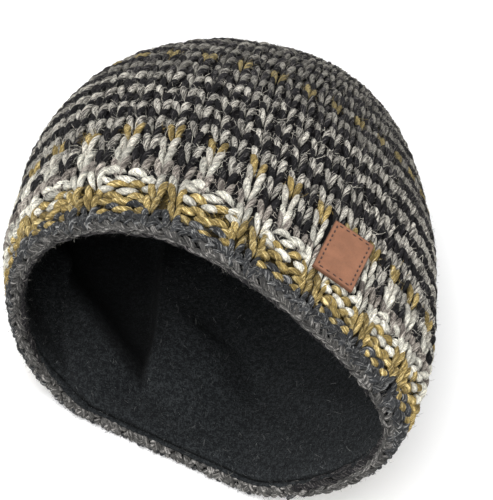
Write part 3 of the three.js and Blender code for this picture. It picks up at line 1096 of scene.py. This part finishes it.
# The folds of the lining, each from the foot where the two deep ones meet. A fold's crest runs through
# the places in its two rows, share of the wall and turn around it. Its height, how far it falls off to
# the right and to the left, and the way over which it grows are in millimetres
FOLDS = {
    "left": {
        "share": (0.122, 0.136, 0.155, 0.176, 0.228, 0.27, 0.297, 0.31),
        "around": (0.6872, 0.682, 0.6722, 0.6611, 0.6347, 0.6014, 0.565, 0.53),
        "sizes": {"height": 10, "to_right": 11, "to_left": 34, "grows": 18},
    },
    "right": {
        "share": (0.122, 0.156, 0.197, 0.255, 0.312, 0.352, 0.388, 0.52),
        "around": (0.6872, 0.6896, 0.6924, 0.6931, 0.6896, 0.6854, 0.6806, 0.66),
        "sizes": {"height": 14, "to_right": 34, "to_left": 2.6, "grows": 26},
    },
    "low": {
        "share": (0.3, 0.2845, 0.286, 0.283),
        "around": (0.702, 0.726, 0.753, 0.786),
        "sizes": {"height": 3.6, "to_right": 14, "to_left": 5, "grows": 16},
    },
}
# The share of the wall whose girth turns the folds' places around into lengths
FOLDS_AT = 0.2

# The lining's grid is closer where the folds are: the turn around that they are at, and how much
FOLDED = 0.67
CLOSER = 0.6
# The parts of that grid: the inner face up to the first, the rim up to the second, then the outer face
INNER_END, RIM_END = 0.8, 0.84

# The width and depth of the line of sewing beside the rim
SEAM_WIDTH, SEAM_DEPTH = 0.8 * MM, 1.2 * MM


def fold_height(share, around, fold):
    """How far one of the lining's folds stands into the hollow."""
    girth = WALL.girth_at(FOLDS_AT)
    height, to_right, to_left, grows = (size * MM for size in fold["sizes"].values())
    crest = np.stack([np.array(fold["around"]) * girth, np.array(fold["share"]) * WALL_LENGTH], -1)
    spot = np.stack([around * girth, share * WALL_LENGTH], -1)
    nearest = np.full(share.shape, np.inf)
    side, run = np.zeros_like(share), np.zeros_like(share)
    passed = 0
    for start, end in zip(crest[:-1], crest[1:]):
        way = end - start
        length = np.linalg.norm(way)
        t = np.clip((spot - start) @ way / length**2, 0, 1)
        off = spot - start - t[..., None] * way
        away = np.linalg.norm(off, axis=-1)
        closer = away < nearest
        side = np.where(closer, np.sign(off[..., 0] * way[1] - off[..., 1] * way[0]), side)
        run = np.where(closer, passed + t * length, run)
        nearest = np.minimum(nearest, away)
        passed += length
    width = np.where(side > 0, to_right, to_left)
    grown = smooth(0, grows, run) ** 0.6 * (1 - smooth(passed - 1.5 * grows, passed, run))
    return height * grown * np.exp(-((nearest / width) ** 2))


def folds_height(share, around):
    """How far the lining's folds stand into the hollow together."""
    left, right, low = (fold_height(share, around, fold) for fold in FOLDS.values())
    return np.maximum(left, right) + low


def pocket_shade(share, around):
    """1 between the two deep folds, where the fleece is painted darker as shade, and 0 outside it."""
    left, right = (np.interp(share, FOLDS[k]["share"], FOLDS[k]["around"]) for k in ("left", "right"))
    soft = 0.003 + 0.05 * smooth(0.22, 0.38, share)
    inside = smooth(left - 0.022, left + 0.004, around) * (1 - smooth(right - soft, right + soft, around))
    return inside * smooth(0.118, 0.15, share) * (1 - smooth(0.4, 0.6, share))


def hem_seam(share):
    """1 in the line of sewing where the lining's hem ends, and 0 beside it."""
    lining = settings().lining
    return np.exp(-(((share * WALL_LENGTH - lining.setback - lining.hem) / SEAM_WIDTH) ** 2))


def lining_depth(share, around):
    """How deep under the knit's outer face the fleece's inner face lies."""
    lining = settings().lining
    start = lining.setback / WALL_LENGTH
    end = start + lining.hem / WALL_LENGTH
    hem = lining.hem_swell * (1 - smooth(end - 2 * MM / WALL_LENGTH, end + 1.5 * MM / WALL_LENGTH, share))
    slack = 0.5 * MM * np.sin(around * 2 * np.pi * 9 + share * 40) * smooth(0.05, 0.2, share)
    rim = hem - SEAM_DEPTH * hem_seam(share) - rim_squeeze(share, around)
    thick = lining.wall * (0.4 + 0.6 * smooth(start, start + 5 * MM / WALL_LENGTH, share))
    return LINING_FACE + thick + rim + slack + folds_height(share, around)


class BEANIE_OT_lining(bpy.types.Operator):
    """Sew the fleece lining with its folded hem, its seam line and its deep folds"""

    bl_idname = "beanie.lining"
    bl_label = "Lining"

    def execute(self, context):
        lining = settings().lining
        start = lining.setback / WALL_LENGTH

        def place(v, u):
            u = u - CLOSER * np.sin(2 * np.pi * (u - FOLDED)) / (2 * np.pi)
            inner, edge = v < INNER_END, (v >= INNER_END) & (v < RIM_END)
            share_in = start + (1 - start) * (1 - np.clip(v / INNER_END, 0, 1)) ** 1.7
            share_out = start + (1 - start) * np.clip((v - RIM_END) / (1 - RIM_END), 0, 1)
            share = np.where(inner, share_in, np.where(edge, start, share_out))
            share = np.where(share > 1 - 1e-6, 1, share)
            around = np.where(share >= 1, 0, u)
            face = LINING_FACE - rim_squeeze(share, u)
            deep = lining_depth(np.maximum(share, start), u)
            turn = np.pi * np.clip((v - INNER_END) / (RIM_END - INNER_END), 0, 1)
            round_edge = (face + deep) / 2 + (deep - face) / 2 * np.cos(turn)
            depth = np.where(inner, deep, np.where(edge, round_edge, face))
            depth = np.where(share >= 1, np.where(inner, LINING_FACE + lining.wall, LINING_FACE), depth)
            point, out, along, _ = WALL.read(share, around)
            bulge = np.where(edge, np.sin(turn) * (deep - face) / 2, 0)
            kept = [
                ("pocket_shade", np.where(inner, pocket_shade(share, around), 0), "FLOAT"),
                # the seam line is painted darker too, as shade in its groove
                ("seam", np.where(inner, hem_seam(share), 0), "FLOAT"),
            ]
            return point - out * depth[:, None] - along * bulge[:, None], kept

        piece = wrapped_grid("fleece_lining", 280, 150, place)
        finish_piece(piece, fleece_finish(), "fleece", "lining")
        return {"FINISHED"}


# How wide lint is, how short it is at least and how much longer it may be, and how high it lies
LINT_WIDTH = 0.08 * MM
LINT_LENGTH, LINT_LONGER = 0.5 * MM, 3 * MM
LINT_LIFT = 0.15 * MM


class BEANIE_OT_lint(bpy.types.Operator):
    """Scatter pale lint and short curled fibres over the fleece"""

    bl_idname = "beanie.lint"
    bl_label = "Lint"

    def execute(self, context):
        lining = settings().lining
        rng = np.random.default_rng(31)
        count = lining.lint
        share = 0.01 + 0.6 * rng.random(count)
        around = rng.random(count)
        open_fleece = pocket_shade(share, around) < 0.5
        share, around = share[open_fleece], around[open_fleece]
        count = len(share)
        point, out, along, across = WALL.read(share, around)
        start = point - out * (lining_depth(share, around) + LINT_LIFT)[:, None]
        heading = unit(any_way(along, across, rng) - out * 0.25)
        lengths = LINT_LENGTH + LINT_LONGER * rng.random(count) ** 4
        piece = lay_fibres("lining_lint", start, (heading, out), lengths, LINT_WIDTH, 0.6, rng, 2)
        finish_piece(piece, lint_finish(), "fleece")
        return {"FINISHED"}


class PatchPlace:
    """Where a spot of the patch, in metres across and up from its middle, lies on the band."""

    def __init__(self):
        patch = settings().patch
        self.share, self.around = patch.from_rim / WALL_LENGTH, patch.around
        self.point, out, self.along, _ = WALL.read(self.share, self.around)
        self.right = np.cross(self.along, out)

    def find(self, x, y):
        """The points on the wall and their normals, found in a few rounds because the wall is bent."""
        turn = settings().patch.turn
        x, y = x * np.cos(turn) + y * np.sin(turn), y * np.cos(turn) - x * np.sin(turn)
        share = np.full_like(x, self.share)
        around = np.full_like(x, self.around)
        girth = WALL.girth_at(self.share)
        for _ in range(8):
            off = WALL.read(share, around)[0] - self.point
            around = around + (off @ self.right - x) / girth
            share = share + (y - off @ self.along) / WALL_LENGTH
        return WALL.read(share, around)[:2]


# How wide the patch's rounded edge is
PATCH_BEVEL = 0.28 * MM


class BEANIE_OT_patch(bpy.types.Operator):
    """Cut the leather patch and bend it to the knit that it is sewn on"""

    bl_idname = "beanie.patch"
    bl_label = "Patch"

    def execute(self, context):
        patch = settings().patch
        place = PatchPlace()
        deselect()
        bpy.ops.mesh.primitive_grid_add(x_subdivisions=26, y_subdivisions=38, size=1)
        piece = bpy.context.object
        piece.name = piece.data.name = "leather_patch"
        bpy.ops.object.mode_set(mode="EDIT")
        bpy.ops.mesh.select_all(action="SELECT")
        bpy.ops.transform.resize(value=(patch.width, patch.height, 1))
        bpy.ops.mesh.extrude_region_move(TRANSFORM_OT_translate={"value": (0, 0, patch.wall)})
        bpy.ops.mesh.select_all(action="SELECT")
        bpy.ops.mesh.normals_make_consistent(inside=False)
        bpy.ops.object.mode_set(mode="OBJECT")
        bevel = piece.modifiers.new("soft_edges", "BEVEL")
        bevel.width, bevel.segments, bevel.limit_method = PATCH_BEVEL, 2, "ANGLE"
        make_active(piece)
        bpy.ops.object.modifier_apply(modifier="soft_edges")
        flat = places(piece.data)
        add_numbers(piece.data, "spot", flat / np.array([1, 1, patch.wall]), "FLOAT_VECTOR")
        point, out = place.find(flat[:, 0], flat[:, 1])
        move_vertices(piece, point + out * (GAP + flat[:, 2])[:, None])
        finish_piece(piece, leather_finish(), "leather", "patch")
        bpy.ops.object.shade_smooth_by_angle(angle=0.6)
        return {"FINISHED"}


# Where a stitch of the patch comes up and goes down, as shares of a stitch and its gap
THREAD_SHOWS = (0.16, 0.84)
# Half the thread's width, how far its ends sink into the leather, and how far they stray
THREAD_RADIUS, THREAD_SINK, THREAD_STRAY = 0.4 * MM, 0.12 * MM, 0.06 * MM


class BEANIE_OT_patch_stitching(bpy.types.Operator):
    """Sew around the patch with dark thread, each stitch sunk a little into the leather"""

    bl_idname = "beanie.patch_stitching"
    bl_label = "Patch stitching"

    def execute(self, context):
        patch = settings().patch
        rng = np.random.default_rng(5)
        place = PatchPlace()
        wide, tall = patch.width / 2 - patch.inset, patch.height / 2 - patch.inset
        strand = Strand(sides=8, rings=6, bluntness=0.4)
        corners = np.array([(-wide, -tall), (wide, -tall), (wide, tall), (-wide, tall)])
        ends = []
        for start, end in zip(corners, np.roll(corners, -1, 0)):
            count = int(round(np.linalg.norm(end - start) / patch.stitch))
            for k in range(count):
                first, last = (start + (end - start) * (k + at) / count for at in THREAD_SHOWS)
                ends.append((*first, *last))
        ends = np.array(ends) + rng.normal(size=(len(ends), 4)) * THREAD_STRAY
        s = strand.steps[None]
        x = ends[:, :1] * (1 - s) + ends[:, 2:3] * s
        y = ends[:, 1:2] * (1 - s) + ends[:, 3:4] * s
        point, out = place.find(x.ravel(), y.ravel())
        point, out = point.reshape(*x.shape, 3), out.reshape(*x.shape, 3)
        lift = GAP + patch.wall + THREAD_SINK * (np.sin(np.pi * s) - 1)
        centre = point + out * np.broadcast_to(lift, x.shape)[..., None]
        half = np.full(len(ends), THREAD_RADIUS)
        piece = strand.lay("patch_stitching", centre, out, half, half * 0.8, rng.random(len(ends)))
        finish_piece(piece, thread_finish(), "leather", "patch")
        return {"FINISHED"}


# The stage

# How far the floor lies under the hat
FLOOR_DROP = 0.2 * MM
# The camera stands where the photograph was taken from: its turn and height around the hat, its tilt,
# its distance, the length of its lens and the point of the hat that it looks at
CAMERA = {"turn": 28.89, "height": 44.63, "tilt": 2.6, "away": 0.8846, "lens": 146.09}
CAMERA_LOOKS_AT = (-0.01423, 0.0832, 0.04774)
SENSOR = 36


class BEANIE_OT_stage(bpy.types.Operator):
    """Set the pale floor, the soft lights and the camera"""

    bl_idname = "beanie.stage"
    bl_label = "Stage"

    def execute(self, context):
        stage = settings().stage
        deselect()
        bpy.ops.mesh.primitive_plane_add(size=6, location=(0, 0, -FLOOR_DROP))
        floor = bpy.context.object
        floor.name = "floor"
        bpy.ops.object.transform_apply(location=True, rotation=False, scale=False)
        floor.data.materials.append(floor_finish())
        self.light("key", (0.0, -0.5, 1.1), (0, 0, 0.05), 1.2, stage.key)
        self.light("fill", (0.35, -1.1, 0.55), (0, 0, 0.06), 0.8, stage.fill)
        self.light("side", (1.0, 0.4, 0.8), (0, 0, 0.06), 0.9, stage.fill)
        world = bpy.data.worlds.new("studio")
        world.use_nodes = True
        sky = world.node_tree.nodes["Background"]
        sky.inputs["Color"].default_value = (1, 1, 1, 1)
        sky.inputs["Strength"].default_value = stage.world
        bpy.context.scene.world = world
        self.camera()
        view = bpy.context.scene.view_settings
        view.view_transform, view.look = "Standard", "None"
        return {"FINISHED"}

    def light(self, name, place, towards, size, power):
        """A square lamp that faces a point."""
        lamp = bpy.data.lights.new(name, "AREA")
        lamp.shape, lamp.size, lamp.energy = "SQUARE", size, power
        piece = bpy.data.objects.new(name, lamp)
        way = Vector(towards) - Vector(place)
        piece.matrix_world = Matrix.Translation(place) @ way.to_track_quat("-Z", "Y").to_matrix().to_4x4()
        bpy.context.collection.objects.link(piece)

    def camera(self):
        """The camera, with its ways right, up and back worked out from its angles."""
        turn, height, tilt = (np.radians(CAMERA[k]) for k in ("turn", "height", "tilt"))
        back = np.array([np.sin(turn) * np.cos(height), -np.cos(turn) * np.cos(height), np.sin(height)])
        right = np.array([np.cos(turn), np.sin(turn), 0])
        up = np.cross(back, right)
        right, up = right * np.cos(tilt) + up * np.sin(tilt), up * np.cos(tilt) - right * np.sin(tilt)
        place = np.array(CAMERA_LOOKS_AT) + WALL.shift + back * CAMERA["away"]
        data = bpy.data.cameras.new("camera")
        data.sensor_fit, data.sensor_width, data.lens = "HORIZONTAL", SENSOR, CAMERA["lens"]
        data.clip_start, data.clip_end = 0.05, 20
        piece = bpy.data.objects.new("camera", data)
        axes = np.stack([right, up, back], 1)
        piece.matrix_world = Matrix.Translation(place) @ Matrix(axes.tolist()).to_4x4()
        bpy.context.collection.objects.link(piece)
        bpy.context.scene.camera = piece


class BEANIE_PT_panel(bpy.types.Panel):
    """The beanie's sizes, colours and steps"""

    bl_idname = "BEANIE_PT_panel"
    bl_label = "Beanie"
    bl_space_type = "VIEW_3D"
    bl_region_type = "UI"
    bl_category = "Beanie"

    def draw(self, context):
        for name, group in GROUPS.items():
            box = self.layout.box()
            box.label(text=group.bl_rna.name)
            for key in group.__annotations__:
                box.prop(getattr(context.scene, name), key)
        for step in STEPS:
            self.layout.operator(step.bl_idname)


GROUPS = {
    "knit": KnitSizes,
    "yarns": YarnColours,
    "lining": LiningSizes,
    "patch": PatchSizes,
    "stage": StageSizes,
}
STEPS = (
    BEANIE_OT_ground,
    BEANIE_OT_stitches,
    BEANIE_OT_edge,
    BEANIE_OT_fuzz,
    BEANIE_OT_lining,
    BEANIE_OT_lint,
    BEANIE_OT_patch,
    BEANIE_OT_patch_stitching,
    BEANIE_OT_stage,
)


def register():
    for group in (*GROUPS.values(), *STEPS, BEANIE_PT_panel):
        bpy.utils.register_class(group)
    for name, group in GROUPS.items():
        setattr(bpy.types.Scene, name, PointerProperty(type=group))


def unregister():
    for name in GROUPS:
        delattr(bpy.types.Scene, name)
    for group in reversed((*GROUPS.values(), *STEPS, BEANIE_PT_panel)):
        bpy.utils.unregister_class(group)


def main():
    register()
    bpy.ops.beanie.ground()
    bpy.ops.beanie.stitches()
    bpy.ops.beanie.edge()
    bpy.ops.beanie.fuzz()
    bpy.ops.beanie.lining()
    bpy.ops.beanie.lint()
    bpy.ops.beanie.patch()
    bpy.ops.beanie.patch_stitching()
    bpy.ops.beanie.stage()


if __name__ == "__main__":
    main()
